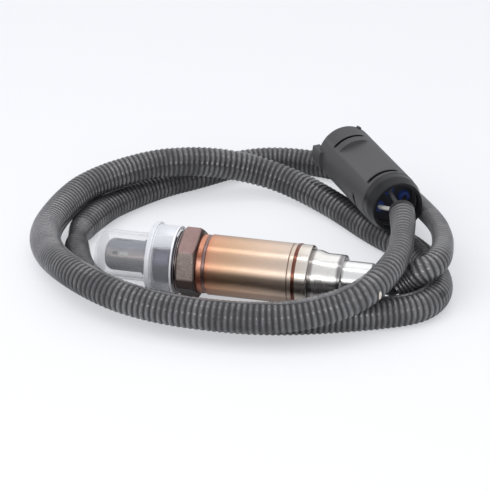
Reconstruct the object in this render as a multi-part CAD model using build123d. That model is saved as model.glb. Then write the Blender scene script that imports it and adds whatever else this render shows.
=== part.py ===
from build123d import *
from math import cos, pi, radians, sin, tan
import os

# Heated oxygen sensor with its sleeved lead and round plug, lying on a flat surface.
# Millimetres.  The origin is on the sensor's axis, in the plane that its gasket seals on.
# +X runs along the axis from the gasket to the lead, and +Z is up.

os.makedirs("parts", exist_ok=True)

# ---- Fits ----
slip = 0.1                      # a piece that slides into another, gap all round
face_gap = 0.1                  # between two faces that seat on each other
cut_past = 1.0                  # a cut runs this far past the piece that it cuts
full_round = 0.98               # share of a radius that a rounded tip or slot end takes
same = 0.01                     # two edges closer than this are the same edge

# ---- Housing: nose, thread, seat, hexagon, neck ----
thread_d = 17.9                 # outside of the M18 x 1.5 thread
thread_len = 10.2               # thread and relief, ahead of the sealing plane
thread_chamfer = 0.8
relief_depth = 0.85
relief_len = 1.5
nose_d = 14.4
nose_len = 1.6
gasket_t = 1.4
gasket_d = 23.0
hex_af = 23.7                   # across flats
hex_len = 7.2
hex_roll = 8.7                  # the front flat looks this far above level
hex_chamfer = 1.1
hex_chamfer_angle = 30.0
hex_chamfer_bow = 8.0           # radius that the chamfer is turned to
hex_washer = 0.4                # end faces of the hexagon are this much under its flats
hex_core = 1.0                  # round core inside the hexagon, under its flats
collar_step = 0.25              # plain collar behind the hexagon, inside the sleeve's surface
collar_len = 2.3
collar_round = 0.5
neck_len = 3.6                  # spigot inside the sleeve
main_bore_d = 13.2
throat_gap = 0.5                # round the element, between its seat and the shield
seat_x = -2.6                   # shoulder that the element's seal ring lies on

# ---- Probe shield ----
shield_d = 12.0
shield_wall = 0.5
shield_reach = 16.4             # ahead of the nose
shield_depth = 2.4              # held inside the nose
shield_collar_proud = 0.7
shield_collar_t = 1.6
slot_count = 6
slot_len = 6.5
slot_w = 1.4
slot_setback = 3.4              # from the shield's tip to the slots
tip_round = 3.0

# ---- Sensing element, heater, inner contact ----
ring_t = 0.6
element_tip_d = 5.6
element_taper = 0.8             # the tip's taper, up to the housing's nose
element_root_d = 8.6
element_gap = 3.7               # from the element's tip to the shield's tip
element_collar_t = 3.8
element_neck_d = 9.0
element_neck_len = 10.2
element_wall_tip = 3.0          # solid tip ahead of the bore
heater_d = 3.2
heater_gap = 0.3                # heater in the element's bore, all round
heater_tip_gap = 0.6            # heater's tip to the bottom of the bore
heater_tail = 8.0               # heater behind the element's neck
contact_d = 5.7                 # contact sleeve round the heater
contact_depth = 6.0             # counterbore for the inner contact
contact_proud = 2.0             # contact sleeve behind the element
contact_room = 0.25             # round it in the support ceramic

# ---- Protective cap ----
cap_wall = 0.9
cap_skirt_d = 26.0
cap_flange_proud = 0.9
cap_flange_t = 2.0
cap_flange_round = 0.5
cap_end_round = 1.2
cap_end_gap = 2.6               # from the shield's tip to the cap's outer end
cap_rim_gap = 0.2               # from the cap's rim to the gasket

# ---- Sleeves ----
sleeve_d = 22.5
sleeve_wall = 0.8
groove_len = 1.3                # necked front edge of the front sleeve
groove_depth = 0.35
seam_back = 1.5                 # fine line ahead of the rear edge
seam_w = 0.3
seam_depth = 0.15
front_sleeve_len = 33.9
bead_w = 1.3                    # proud weld bead where the sleeves join
bead_proud = 0.2
bead_round = 0.9                # share of its height that the bead's edges are rounded by
rear_spigot_len = 4.6
rear_land_len = 4.5             # full diameter behind the bead
step_1_drop = 1.45              # first step, down from the full diameter
step_1_len = 2.6
taper_drop = 0.85
taper_len = 2.8
step_2_len = 7.0
tail_d = 14.0
tail_len = 10.2
shoulder_round = 0.7
tail_lip_round = 0.35

# ---- Ceramic, holder, spring, terminals, grommet ----
ceramic_len = 11.3              # the wide rear part of the support ceramic
holder_step_gap = 0.4           # full width ends this far ahead of the rear sleeve
terminal_circle_d = 9.0
terminal_d = 3.0
terminal_pin_d = 1.1
terminal_pin_len = 12.5
terminal_len = 18.0
terminal_stop = 1.7             # thickness of the holder's front wall
crimp_depth = 6.0
spring_t = 0.8
spring_h = 2.4                  # pressed height, between the holder and the shoulder
spring_gap = 0.75               # inside the sleeve, all round
spring_bore_d = 12.5
grommet_front_len = 5.1
grommet_proud = 1.2
grommet_round = 0.5

# ---- Lead: four wires, black sheath, ribbed conduit ----
wire_d = 1.7
wire_circle_d = 3.2             # the wires' circle in the grommet
wire_lead_out = 2.0             # straight wire behind a crimp
wire_lead_in = 1.5              # straight wire ahead of the grommet
sheath_d = 5.0
conduit_d = 11.0

# ---- Plug ----
plug_d = 22.6
plug_wall = 1.5
plug_body_len = 48.6
plug_front = (41.1, 95.1, 8.7)  # centre of the mating end
plug_heading = -56.3            # degrees, direction of the axis seen from above
plug_roll = 15.0                # the key flat leans this far off upright
cavity_depth = 24.0
web_t = 3.0
plug_edge_round = 0.5
flat_depth = 1.9                # outer flats, in from the round surface
flat_start = 15.0
flat_slope = 0.4                # the recess ends in steep walls
rear_rim_len = 4.0              # round rim behind the flat
slit_w = 1.5
slit_x = 9.7
rear_slit_back = 3.0            # ahead of the body's rear end
side_slit_turn = 97.0           # from the flat, round towards the floor
side_slit_x = 38.0
side_slit_depth = 0.8
tongue_reach = 3.8
tongue_root = 4.0
tongue_w = 7.2
tongue_turn = 77.0
tongue_proud = 1.1
nub_w = 1.5
nub_proud = 0.6
nub_root = 0.5                  # depth of the nub in the shroud's wall
nub_turn = -43.0
spigot_step = 1.4               # spigot for the rear ring, in from the body
plug_spigot_len = 4.2
plug_spigot_wall = 1.4
carrier_setback = 3.9           # carrier's rear face, ahead of the spigot's end
ring_step = 0.2                 # rear ring, in from the body
ring_taper = 1.1
ring_wall = 1.2
ring_len = 7.7
ring_shoulder = 4.2
ring_shoulder_round = 3.0
ring_lip_round = 0.5
seal_wall = 0.9                 # carrier outside the wire seals
pin_d = 2.0
pin_reach = 12.0                # length of pin inside the mating cavity
pin_barrel_d = 2.8
pin_barrel_len = 10.0
carrier_stop = 2.8
seal_d = 4.6
seal_len = 5.5
seal_depth = 4.0
seal_ribs = 3
seal_rib_h = 0.25
seal_ring_t = 2.5
seal_ring_w = 0.9               # at the flats
conduit_entry = 4.0             # length over which the plug's wires close in
wire_past = 3.0                 # they run on past the ring's mouth

# ---- Stations along the sensor's axis ----
relief_d = thread_d - 2 * relief_depth
throat_d = element_root_d + 2 * throat_gap
shield_collar_d = shield_d + 2 * shield_collar_proud
element_bore_d = heater_d + 2 * heater_gap
collar_d = sleeve_d - 2 * collar_step
step_1_d = sleeve_d - 2 * step_1_drop
step_2_d = step_1_d - 2 * taper_drop
nose_x = -thread_len - nose_len
shield_tip_x = nose_x - shield_reach
hex_rear_x = gasket_t + hex_len
collar_rear_x = hex_rear_x + collar_len
neck_rear_x = collar_rear_x + neck_len
front_sleeve_rear_x = collar_rear_x + front_sleeve_len
bead_rear_x = front_sleeve_rear_x + bead_w
step_1_x = bead_rear_x + rear_land_len
taper_x = step_1_x + step_1_len
step_2_x = taper_x + taper_len
tail_x = step_2_x + step_2_len
tail_rear_x = tail_x + tail_len
ring_rear_x = seat_x + ring_t
element_tip_x = shield_tip_x + element_gap
element_collar_x = ring_rear_x + element_collar_t
element_rear_x = element_collar_x + element_neck_len
heater_rear_x = element_rear_x + heater_tail
ceramic_x = neck_rear_x + 2 * face_gap
ceramic_rear_x = ceramic_x + ceramic_len
shoulder_x = step_1_x - sleeve_wall
spigot_x = front_sleeve_rear_x - rear_spigot_len
holder_x = ceramic_rear_x + face_gap
holder_rear_x = shoulder_x - spring_h
terminal_x = holder_x + terminal_stop + face_gap
terminal_rear_x = terminal_x + terminal_len
tail_shoulder_x = tail_x - sleeve_wall
grommet_x = tail_shoulder_x - grommet_front_len
grommet_rear_x = tail_rear_x + grommet_proud
sleeve_bore_d = sleeve_d - 2 * sleeve_wall
spigot_d = sleeve_bore_d - 2 * slip
spigot_bore_d = spigot_d - 2 * sleeve_wall
cap_end_x = shield_tip_x - cap_end_gap
cap_flange_x = -thread_len + cap_flange_t
cap_rim_x = -cap_rim_gap
cap_grip_d = thread_d + 2 * slip
cap_bore_d = cap_grip_d - 2 * thread_chamfer
cap_nose_d = cap_bore_d + 2 * cap_wall
cap_flange_d = cap_skirt_d + 2 * cap_flange_proud

# ---- Plug's place, and the sizes that its pieces share ----
side_turn = 90                  # the second flat is a quarter turn round from the first
plug_bore_d = plug_d - 2 * plug_wall
flat_h = plug_d / 2 - flat_depth
flat_end = plug_body_len - rear_rim_len
inner_flat = flat_h - plug_wall
plug_spigot_d = plug_d - 2 * spigot_step
pocket_d = plug_spigot_d - 2 * plug_spigot_wall
carrier_d = pocket_d - 2 * slip
carrier_rear_x = plug_body_len + plug_spigot_len - carrier_setback
pin_circle_d = carrier_d - 2 * seal_wall - seal_d
ring_front_d = plug_d - 2 * ring_step
ring_rear_d = ring_front_d - 2 * ring_taper
ring_bore_d = ring_rear_d - 2 * ring_wall
heading = radians(plug_heading)
roll = radians(plug_roll)
along = Vector(cos(heading), sin(heading), 0)
across = Vector(-sin(heading), cos(heading), 0)
key_up = Vector(0, 0, 1) * cos(roll) - across * sin(roll)
plug_place = Plane(origin=plug_front, x_dir=along, z_dir=key_up)

# ---- Route of the lead ----
# Ribbed conduit, from its open mouth beside the sensor's tail, round two loose loops, into
# the back of the plug.  It lies on the floor where z is least and crosses itself in humps.
conduit_route = [
    (80.5, 11, -6.5), (82.5, 18.5, -4), (86, 25.5, 0), (89.5, 32, 3.5), (91.5, 40, 5),
    (91, 49.5, 4.5), (86.5, 60.5, 2.5), (79, 73, -0.5), (69, 89, -3.5), (55, 105.5, -6.5),
    (39, 115.5, -8.4), (22, 118.5, -8.4),
    (6, 117.5, -8.4), (-6.5, 111, -8.4), (-19, 97, -8.4), (-30, 84.5, -8.4), (-40, 69, -8.4),
    (-47, 54, -8.4), (-49.5, 39, -8.4), (-48, 23.5, -8.4), (-43.5, 8, -8.4), (-38.5, -7.5, -8.4),
    (-29, -17, -8.4), (-12, -19.5, -8.4), (7, -22, -8.4), (26, -22.5, -8.4), (45, -20, -8.4),
    (61, -16.5, -8.4), (77, -10, -8.4), (88, -1, -8.4), (94.5, 10, -8.4), (95.5, 23, -8.4),
    (90.5, 36.5, -8.4), (79, 52.5, -8.4), (62, 62, -8.4), (42, 80, -8.4), (21.5, 94, -6.5),
    (5.5, 95.5, -3), (-7.5, 90, 1), (-21, 83, 3.8), (-33.5, 76, 3.8), (-45.5, 73, 1),
    (-55, 66, -2.5), (-61.5, 48, -5.5), (-61.5, 23.5, -6), (-51, -5, -1.5), (-34, -26.5, 0.5),
    (-17.5, -30.5, -1.5), (0, -34, -3), (19, -35.5, -3), (37.5, -33, -3), (52, -29.5, -1.8),
    (64.5, -26, 1), (73.5, -20.5, 4.2), (79, -10.5, 7), (81, 5, 8.3), (79.5, 24, 8.7),
    (77.3, 37.5, 8.7), (73, 47.3, 8.7),
]
# Black sheath, from the grommet's face down into the conduit's mouth.
sheath_bend = [(77.6, 0, 0), (80.3, 1.3, -2.6), (80, 4.4, -6.2)]
sheath_lead_in = 3.5            # straight run into the conduit's mouth


def turned(points):
    """Solid turned about the X axis, from its (x, diameter) corners."""
    corners = [(x, diameter / 2) for x, diameter in points]
    outline = make_face(Polyline(*corners, close=True))
    return revolve(outline, axis=Axis.X, revolution_arc=360)


def rod(x_from, x_to, diameter):
    """Plain round bar on the X axis."""
    return turned([(x_from, 0), (x_from, diameter), (x_to, diameter), (x_to, 0)])


def tube(x_from, x_to, outer, bore):
    """Plain tube on the X axis."""
    return turned([(x_from, bore), (x_from, outer), (x_to, outer), (x_to, bore)])


def around(shape, count, circle_d, start=0.0):
    """Copies of a shape on the X axis, set out on a circle round it."""
    copies = []
    for i in range(count):
        angle = start + 360 * i / count
        copies.append(Rot(angle, 0, 0) * Pos(0, 0, circle_d / 2) * shape)
    return copies


def rounded(shape, places, radius):
    """Fillet the edges of revolution at the given (x, diameter) corners."""
    chosen = []
    for edge in shape.edges().filter_by(GeomType.CIRCLE):
        centre = edge.arc_center
        for x, diameter in places:
            if abs(centre.X - x) < same and abs(edge.radius - diameter / 2) < same:
                chosen.append(edge)
    return fillet(chosen, radius)


def run_radii(points):
    """The largest arc at each corner that leaves a tenth of the shorter run straight."""
    radii = []
    for before, here, after in zip(points, points[1:], points[2:]):
        run_in = Vector(*here) - Vector(*before)
        run_out = Vector(*after) - Vector(*here)
        half_turn = radians(run_in.get_angle(run_out)) / 2
        radii.append(0.45 * min(run_in.length, run_out.length) / tan(half_turn))
    return radii


def cord_tube(points, diameter, label):
    """Round cord along straight runs joined by arcs; prints its arcs, length and volume."""
    radii = run_radii(points)
    path = FilletPolyline(*points, radius=radii)
    start = Plane(origin=path @ 0, z_dir=path % 0)
    cord = sweep(start * Circle(diameter / 2), path=path)
    section = pi * diameter**2 / 4
    print(f"{label}: length {path.length:.1f}, volume / (section x length) "
          f"{cord.volume / (section * path.length):.5f}")
    print("  arc radii", " ".join(f"{r:.1f}" for r in radii))
    return cord


# ---------------------------------------------------------------- sensor body

def protective_cap():
    """Push-on cap: small end over the shield, grip land on the thread, wide skirt."""
    wall = cap_wall
    outer = [
        (cap_end_x, 0), (cap_end_x, cap_nose_d), (-thread_len, cap_nose_d),
        (-thread_len, cap_flange_d), (cap_flange_x, cap_flange_d),
        (cap_flange_x, cap_skirt_d), (cap_rim_x, cap_skirt_d),
    ]
    inner = [
        (cap_rim_x, cap_skirt_d - 2 * wall), (cap_flange_x, cap_skirt_d - 2 * wall),
        (cap_flange_x, cap_grip_d), (-thread_len + thread_chamfer, cap_grip_d),
        (-thread_len, cap_bore_d), (cap_end_x + wall, cap_bore_d), (cap_end_x + wall, 0),
    ]
    cap = turned(outer + inner)
    cap = rounded(cap, [(cap_end_x, cap_nose_d)], cap_end_round)
    flange_edges = [(-thread_len, cap_flange_d), (cap_flange_x, cap_flange_d)]
    return rounded(cap, flange_edges, cap_flange_round)


def probe_shield():
    """Drawn tube with a domed, slotted end and a collar that seats on the nose."""
    bore = shield_d - 2 * shield_wall
    rear_x = nose_x + shield_depth
    shield = turned([
        (shield_tip_x, 0), (shield_tip_x, shield_d), (nose_x - shield_collar_t, shield_d),
        (nose_x - shield_collar_t, shield_collar_d), (nose_x, shield_collar_d),
        (nose_x, shield_d), (rear_x, shield_d), (rear_x, bore),
        (shield_tip_x + shield_wall, bore), (shield_tip_x + shield_wall, 0),
    ])
    shield = rounded(shield, [(shield_tip_x, shield_d)], tip_round)
    shield = rounded(shield, [(shield_tip_x + shield_wall, bore)], tip_round - shield_wall)
    middle = shield_tip_x + slot_setback + slot_len / 2
    cutter = Pos(middle, 0, shield_d / 2) * Box(slot_len, slot_w, shield_d / 2)
    cutter = fillet(cutter.edges().filter_by(Axis.Z), full_round * slot_w / 2)
    for slot in around(cutter, slot_count, 0):
        shield -= slot
    return shield


def sensing_element():
    """Closed ceramic thimble with a seating collar, bored for the heater."""
    root_x = nose_x + shield_depth
    collar = main_bore_d - 4 * slip
    body = turned([
        (element_tip_x, 0), (element_tip_x, element_tip_d),
        (nose_x, element_tip_d + element_taper), (root_x, element_root_d),
        (ring_rear_x, element_root_d), (ring_rear_x, collar), (element_collar_x, collar),
        (element_collar_x, element_neck_d), (element_rear_x, element_neck_d),
        (element_rear_x, 0),
    ])
    tip = [(element_tip_x, element_tip_d)]
    body = rounded(body, tip, full_round * element_tip_d / 2)
    body -= rod(element_tip_x + element_wall_tip, element_rear_x, element_bore_d)
    return body - rod(element_rear_x - contact_depth, element_rear_x, contact_d + slip)


def heater_rod():
    """Ceramic rod heater down the middle of the element."""
    tip_x = element_tip_x + element_wall_tip + heater_tip_gap
    heater = rod(tip_x, heater_rear_x, heater_d)
    return rounded(heater, [(tip_x, heater_d)], heater_d / 4)


def inner_contact():
    """Contact sleeve round the heater, seated in the element's counterbore."""
    front_x = element_rear_x - contact_depth
    return tube(front_x, element_rear_x + contact_proud, contact_d, heater_d + slip)


def element_seal_ring():
    """Thin ring between the element's collar and the housing's shoulder."""
    return tube(seat_x, ring_rear_x, main_bore_d - 2 * slip, throat_d + 2 * slip)


def hexagon():
    """Hexagon bar with its corners chamfered front and rear."""
    corner_d = hex_af / cos(radians(30))
    corners = []
    for i in range(6):
        angle = radians(180 - hex_roll + 30 + 60 * i)
        corners.append((corner_d / 2 * cos(angle), corner_d / 2 * sin(angle)))
    bar = extrude(Plane.YZ * Polygon(*corners, align=None), amount=hex_len)
    bar = Pos(gasket_t, 0, 0) * bar
    face_r = (hex_af - hex_washer) / 2
    full_r = face_r + hex_chamfer / tan(radians(hex_chamfer_angle))
    front = [(gasket_t, 0), (gasket_t, face_r), (gasket_t + hex_chamfer, full_r)]
    rear = [(hex_rear_x - hex_chamfer, full_r), (hex_rear_x, face_r), (hex_rear_x, 0)]
    outline = make_face([
        Line(front[0], front[1]), RadiusArc(front[1], front[2], hex_chamfer_bow),
        Line(front[2], rear[0]), RadiusArc(rear[0], rear[1], hex_chamfer_bow),
        Polyline(rear[1], rear[2], front[0]),
    ])
    return bar & revolve(outline, axis=Axis.X, revolution_arc=360)


def housing_shell():
    """One turned and milled piece: nose, thread, relief, hexagon, collar, neck."""
    core_d = hex_af - hex_core
    shell = turned([
        (nose_x, 0), (nose_x, nose_d), (-thread_len, nose_d),
        (-thread_len, thread_d - 2 * thread_chamfer), (-thread_len + thread_chamfer, thread_d),
        (-relief_len - relief_depth, thread_d), (-relief_len, relief_d), (gasket_t, relief_d),
        (gasket_t, core_d), (hex_rear_x, core_d), (hex_rear_x, collar_d),
        (collar_rear_x, collar_d), (collar_rear_x, spigot_d), (neck_rear_x, spigot_d),
        (neck_rear_x, 0),
    ])
    shell = rounded(shell, [(collar_rear_x, collar_d)], collar_round)
    shell += hexagon()
    shell -= rod(nose_x, nose_x + shield_depth, shield_d + slip)
    shell -= rod(nose_x, seat_x, throat_d)
    return shell - rod(seat_x, neck_rear_x, main_bore_d)


def seal_gasket():
    """Captive folded gasket ring with a rolled outer edge, against the hexagon."""
    bore = relief_d + 4 * slip
    fold = gasket_t / 4
    ring = turned([
        (0, bore), (0, gasket_d), (gasket_t / 2 - fold / 2, gasket_d),
        (gasket_t / 2, gasket_d - 4 * fold), (gasket_t / 2 + fold / 2, gasket_d),
        (gasket_t, gasket_d), (gasket_t, bore),
    ])
    return rounded(ring, [(0, gasket_d), (gasket_t, gasket_d)], fold)


def support_ceramic():
    """Insulator over the element's neck, bored for heater, contact and terminal pins."""
    small_d = main_bore_d - 3 * slip
    wide_d = sleeve_bore_d - 4 * slip
    front_x = element_collar_x + face_gap
    contact_x = element_rear_x + contact_proud + 2 * slip
    body = turned([
        (front_x, 0), (front_x, small_d), (ceramic_x, small_d), (ceramic_x, wide_d),
        (ceramic_rear_x, wide_d), (ceramic_rear_x, 0),
    ])
    body -= rod(front_x, element_rear_x + 2 * slip, element_neck_d + 2 * slip)
    body -= rod(front_x, contact_x, contact_d + 2 * contact_room)
    body -= rod(front_x, heater_rear_x + 2 * slip, heater_d + 2 * slip)
    pin_front_x = terminal_x - terminal_pin_len - 2 * slip
    hole = rod(pin_front_x, ceramic_rear_x, terminal_pin_d + 2 * slip)
    for cut in around(hole, 4, terminal_circle_d, 45):
        body -= cut
    return body


def terminal_holder():
    """Insulator that holds the four crimp terminals, stepped to enter the rear sleeve."""
    wide_d = sleeve_bore_d - 4 * slip
    small_d = spigot_bore_d - 2 * slip
    step_x = spigot_x - holder_step_gap
    body = turned([
        (holder_x, 0), (holder_x, wide_d), (step_x, wide_d), (step_x, small_d),
        (holder_rear_x, small_d), (holder_rear_x, 0),
    ])
    pin_hole = rod(holder_x, terminal_x, terminal_pin_d + 2 * slip)
    barrel_hole = rod(terminal_x - face_gap, holder_rear_x, terminal_d + slip)
    for cut in around(pin_hole + barrel_hole, 4, terminal_circle_d, 45):
        body -= cut
    return body


def crimp_terminals():
    """Four terminals: a pin forward through the ceramics and a crimp barrel behind."""
    terminal = turned([
        (terminal_x - terminal_pin_len, 0), (terminal_x - terminal_pin_len, terminal_pin_d),
        (terminal_x, terminal_pin_d), (terminal_x, terminal_d),
        (terminal_rear_x, terminal_d), (terminal_rear_x, wire_d + slip),
        (terminal_rear_x - crimp_depth, wire_d + slip), (terminal_rear_x - crimp_depth, 0),
    ])
    return Compound(around(terminal, 4, terminal_circle_d, 45))


def disc_spring():
    """Coned washer that presses the ceramics forward from the rear sleeve's shoulder."""
    spring_d = sleeve_bore_d - 2 * spring_gap
    return turned([
        (holder_rear_x, spring_bore_d), (holder_rear_x + spring_t, spring_bore_d),
        (shoulder_x, spring_d), (shoulder_x - spring_t, spring_d),
    ])


def front_sleeve():
    """Rolled metal sleeve on the housing's neck, necked at its front edge."""
    neck_d = sleeve_d - 2 * groove_depth
    seam_x = front_sleeve_rear_x - seam_back
    seam_d = sleeve_d - 2 * seam_depth
    groove_x = collar_rear_x + groove_len
    return turned([
        (collar_rear_x, sleeve_bore_d), (collar_rear_x, neck_d),
        (groove_x - groove_depth, neck_d), (groove_x, sleeve_d),
        (seam_x - seam_w, sleeve_d), (seam_x - seam_w / 2, seam_d), (seam_x, sleeve_d),
        (front_sleeve_rear_x, sleeve_d), (front_sleeve_rear_x, sleeve_bore_d),
    ])


def rear_sleeve():
    """Stepped metal sleeve: spigot, weld bead, full land, taper, shank and tail."""
    wall = 2 * sleeve_wall
    bead_d = sleeve_d + 2 * bead_proud
    outer = [
        (spigot_x, spigot_d), (front_sleeve_rear_x, spigot_d), (front_sleeve_rear_x, bead_d),
        (bead_rear_x, bead_d), (bead_rear_x, sleeve_d), (step_1_x, sleeve_d),
        (step_1_x, step_1_d), (taper_x, step_1_d), (step_2_x, step_2_d), (tail_x, step_2_d),
        (tail_x, tail_d), (tail_rear_x, tail_d),
    ]
    inner = [
        (tail_rear_x, tail_d - wall), (tail_shoulder_x, tail_d - wall),
        (tail_shoulder_x, step_2_d - wall), (step_2_x, step_2_d - wall),
        (taper_x, step_1_d - wall), (shoulder_x, step_1_d - wall),
        (shoulder_x, sleeve_d - wall), (bead_rear_x, sleeve_d - wall),
        (bead_rear_x - wall / 2, spigot_bore_d), (spigot_x, spigot_bore_d),
    ]
    sleeve = turned(outer + inner)
    bead_edges = [(front_sleeve_rear_x, bead_d), (bead_rear_x, bead_d)]
    sleeve = rounded(sleeve, bead_edges, bead_round * bead_proud)
    shoulders = [(step_1_x, sleeve_d), (tail_x, step_2_d)]
    sleeve = rounded(sleeve, shoulders, shoulder_round)
    return rounded(sleeve, [(tail_rear_x, tail_d)], tail_lip_round)


def sensor_wire(angle):
    """One wire, from its crimp, in towards the axis and out through the grommet."""
    wide = terminal_circle_d / 2
    close = wire_circle_d / 2
    start_x = terminal_rear_x - crimp_depth + slip
    points = [
        (start_x, 0, wide), (terminal_rear_x + wire_lead_out, 0, wide),
        (grommet_x - wire_lead_in, 0, close), (grommet_rear_x, 0, close),
    ]
    path = FilletPolyline(*points, radius=2 * wire_d)
    wire = sweep(Plane(origin=path @ 0, z_dir=path % 0) * Circle(wire_d / 2), path=path)
    return Rot(angle, 0, 0) * wire


def lead_grommet():
    """Stepped plug of soft polymer in the tail, with a hole for each wire."""
    wall = 2 * sleeve_wall
    wide_d = step_2_d - wall - 2 * slip
    small_d = tail_d - wall - 2 * slip
    step_x = tail_shoulder_x - face_gap
    body = turned([
        (grommet_x, 0), (grommet_x, wide_d), (step_x, wide_d), (step_x, small_d),
        (grommet_rear_x, small_d), (grommet_rear_x, 0),
    ])
    body = rounded(body, [(grommet_rear_x, small_d)], grommet_round)
    hole = rod(grommet_x, grommet_rear_x, wire_d + slip)
    for cut in around(hole, 4, wire_circle_d, 45):
        body -= cut
    return body


# ---------------------------------------------------------------- lead

def lead_sheath():
    """Black sheath from the grommet's face into the mouth of the conduit."""
    mouth = Vector(*conduit_route[0])
    heading = (Vector(*conduit_route[1]) - mouth).normalized()
    before_mouth = mouth - heading * sheath_lead_in
    points = [(grommet_rear_x, 0, 0)] + sheath_bend + [tuple(before_mouth), tuple(mouth)]
    return cord_tube(points, sheath_d, "sheath")


def conduit():
    """Ribbed conduit over the whole lead, kept plain."""
    return cord_tube(conduit_route, conduit_d, "conduit")


# ---------------------------------------------------------------- plug
# Built along X from its mating end, with its key flat up, then set in place.

def keyed(x_from, x_to, diameter, flat):
    """Round bar with a flat on top and one on its side, both at the same height."""
    bar = rod(x_from, x_to, diameter)
    middle = (x_from + x_to) / 2
    block = Box(x_to - x_from + 2 * cut_past, 2 * diameter, diameter)
    top = Pos(middle, 0, flat + diameter / 2) * block
    side = Rot(side_turn, 0, 0) * top
    return bar - top - side


def wedge_cut(points):
    """Cut across the whole width, from its (x, z) corners, on the top of the plug."""
    outline = make_face(Polyline(*[(x, 0, z) for x, z in points], close=True))
    return extrude(outline, amount=plug_d, both=True)


def slit(x, floor):
    """Cutter for a slit across the top of the plug, down to the given height."""
    return wedge_cut([(x, floor), (x + slit_w, floor), (x + slit_w, plug_d), (x, plug_d)])


def plug_housing():
    """Moulded body: mating shroud, web, rear pocket, spigot, flat, slits and tongue."""
    above = plug_d
    slope_end = flat_start + flat_slope
    body = rod(0, plug_body_len, plug_d)
    body = rounded(body, [(0, plug_d), (plug_body_len, plug_d)], plug_edge_round)
    body += rod(plug_body_len, plug_body_len + plug_spigot_len, plug_spigot_d)
    body -= wedge_cut([(flat_start, plug_d / 2), (slope_end, flat_h), (flat_end, flat_h),
                       (flat_end, above), (flat_start, above)])
    body -= slit(slit_x, flat_h)
    body -= slit(plug_body_len - rear_slit_back, flat_h)
    body -= Rot(side_slit_turn, 0, 0) * slit(side_slit_x, plug_d / 2 - side_slit_depth)
    tongue_d = plug_d + 2 * tongue_proud
    tongue = tube(-tongue_reach, tongue_root, tongue_d, plug_d - 2 * plug_wall)
    tongue_block = Pos(0, 0, tongue_d / 2) * Box(2 * tongue_root, tongue_w, tongue_d / 2)
    body += tongue & (Rot(tongue_turn, 0, 0) * tongue_block)
    nub = tube(0, nub_w, plug_d + 2 * nub_proud, plug_d - 2 * nub_root)
    nub_block = Pos(0, 0, plug_d / 2) * Box(plug_d, nub_w, plug_d / 2)
    body += nub & (Rot(nub_turn, 0, 0) * nub_block)
    body -= keyed(-tongue_reach, cavity_depth, plug_bore_d, inner_flat)
    body -= keyed(cavity_depth + web_t, plug_body_len, pocket_d, inner_flat)
    body -= rod(plug_body_len, plug_body_len + plug_spigot_len, pocket_d)
    for cut in around(rod(cavity_depth, cavity_depth + web_t, pin_d + 2 * slip), 4, pin_circle_d):
        body -= cut
    return body


def plug_insert():
    """Contact carrier in the rear pocket, with stepped holes for contacts and seals."""
    front_x = cavity_depth + web_t + face_gap
    rear_x = carrier_rear_x
    body = keyed(front_x, plug_body_len, carrier_d, inner_flat - slip)
    body += rod(plug_body_len, rear_x, carrier_d)
    stop_x = front_x + carrier_stop
    hole = rod(front_x, stop_x, pin_d + 2 * slip)
    hole += rod(stop_x, rear_x, pin_barrel_d + slip)
    hole += rod(rear_x - seal_depth, rear_x, seal_d)
    for cut in around(hole, 4, pin_circle_d):
        body -= cut
    return body


def plug_pins():
    """Four contacts: round pins in the mating cavity, crimp barrels in the carrier."""
    barrel_x = cavity_depth + web_t + face_gap + carrier_stop + face_gap
    rear_x = barrel_x + pin_barrel_len
    pin = turned([
        (cavity_depth - pin_reach, 0), (cavity_depth - pin_reach, pin_d), (barrel_x, pin_d),
        (barrel_x, pin_barrel_d), (rear_x, pin_barrel_d), (rear_x, wire_d + slip),
        (rear_x - crimp_depth, wire_d + slip), (rear_x - crimp_depth, 0),
    ])
    pin = rounded(pin, [(cavity_depth - pin_reach, pin_d)], full_round * pin_d / 2)
    return Compound(around(pin, 4, pin_circle_d))


def plug_front_seal():
    """Flat seal at the bottom of the mating cavity, shaped to the keyed shroud."""
    seal = keyed(cavity_depth - seal_ring_t, cavity_depth, plug_bore_d - slip,
                 inner_flat - slip / 2)
    bore_d = 2 * (inner_flat - seal_ring_w)
    return seal - rod(cavity_depth - seal_ring_t, cavity_depth, bore_d)


def wire_seals():
    """Four ribbed seals, one on each wire, in the back of the carrier."""
    rear_x = carrier_rear_x - seal_depth + seal_len
    front_x = rear_x - seal_len
    points = [(front_x, wire_d + slip)]
    crest_d = seal_d - slip
    root_d = crest_d - 2 * seal_rib_h
    rib = seal_len / (2 * seal_ribs)
    for i in range(seal_ribs):
        x = front_x + 2 * rib * i
        points += [(x, crest_d), (x + rib, crest_d), (x + rib, root_d), (x + 2 * rib, root_d)]
    points.append((rear_x, wire_d + slip))
    return Compound(around(turned(points), 4, pin_circle_d))


def plug_rear_ring():
    """Near-black retaining ring on the spigot, open at the back for the conduit."""
    front_x = plug_body_len + face_gap
    step_x = plug_body_len + plug_spigot_len + face_gap
    rear_x = plug_body_len + ring_len
    ring = turned([
        (front_x, plug_spigot_d + 2 * slip), (front_x, ring_front_d),
        (rear_x - ring_shoulder, ring_front_d), (rear_x, ring_rear_d), (rear_x, ring_bore_d),
        (step_x, ring_bore_d), (step_x, plug_spigot_d + 2 * slip),
    ])
    shoulder = [(rear_x - ring_shoulder, ring_front_d)]
    ring = rounded(ring, shoulder, ring_shoulder_round)
    return rounded(ring, [(rear_x, ring_rear_d)], ring_lip_round)


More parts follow.
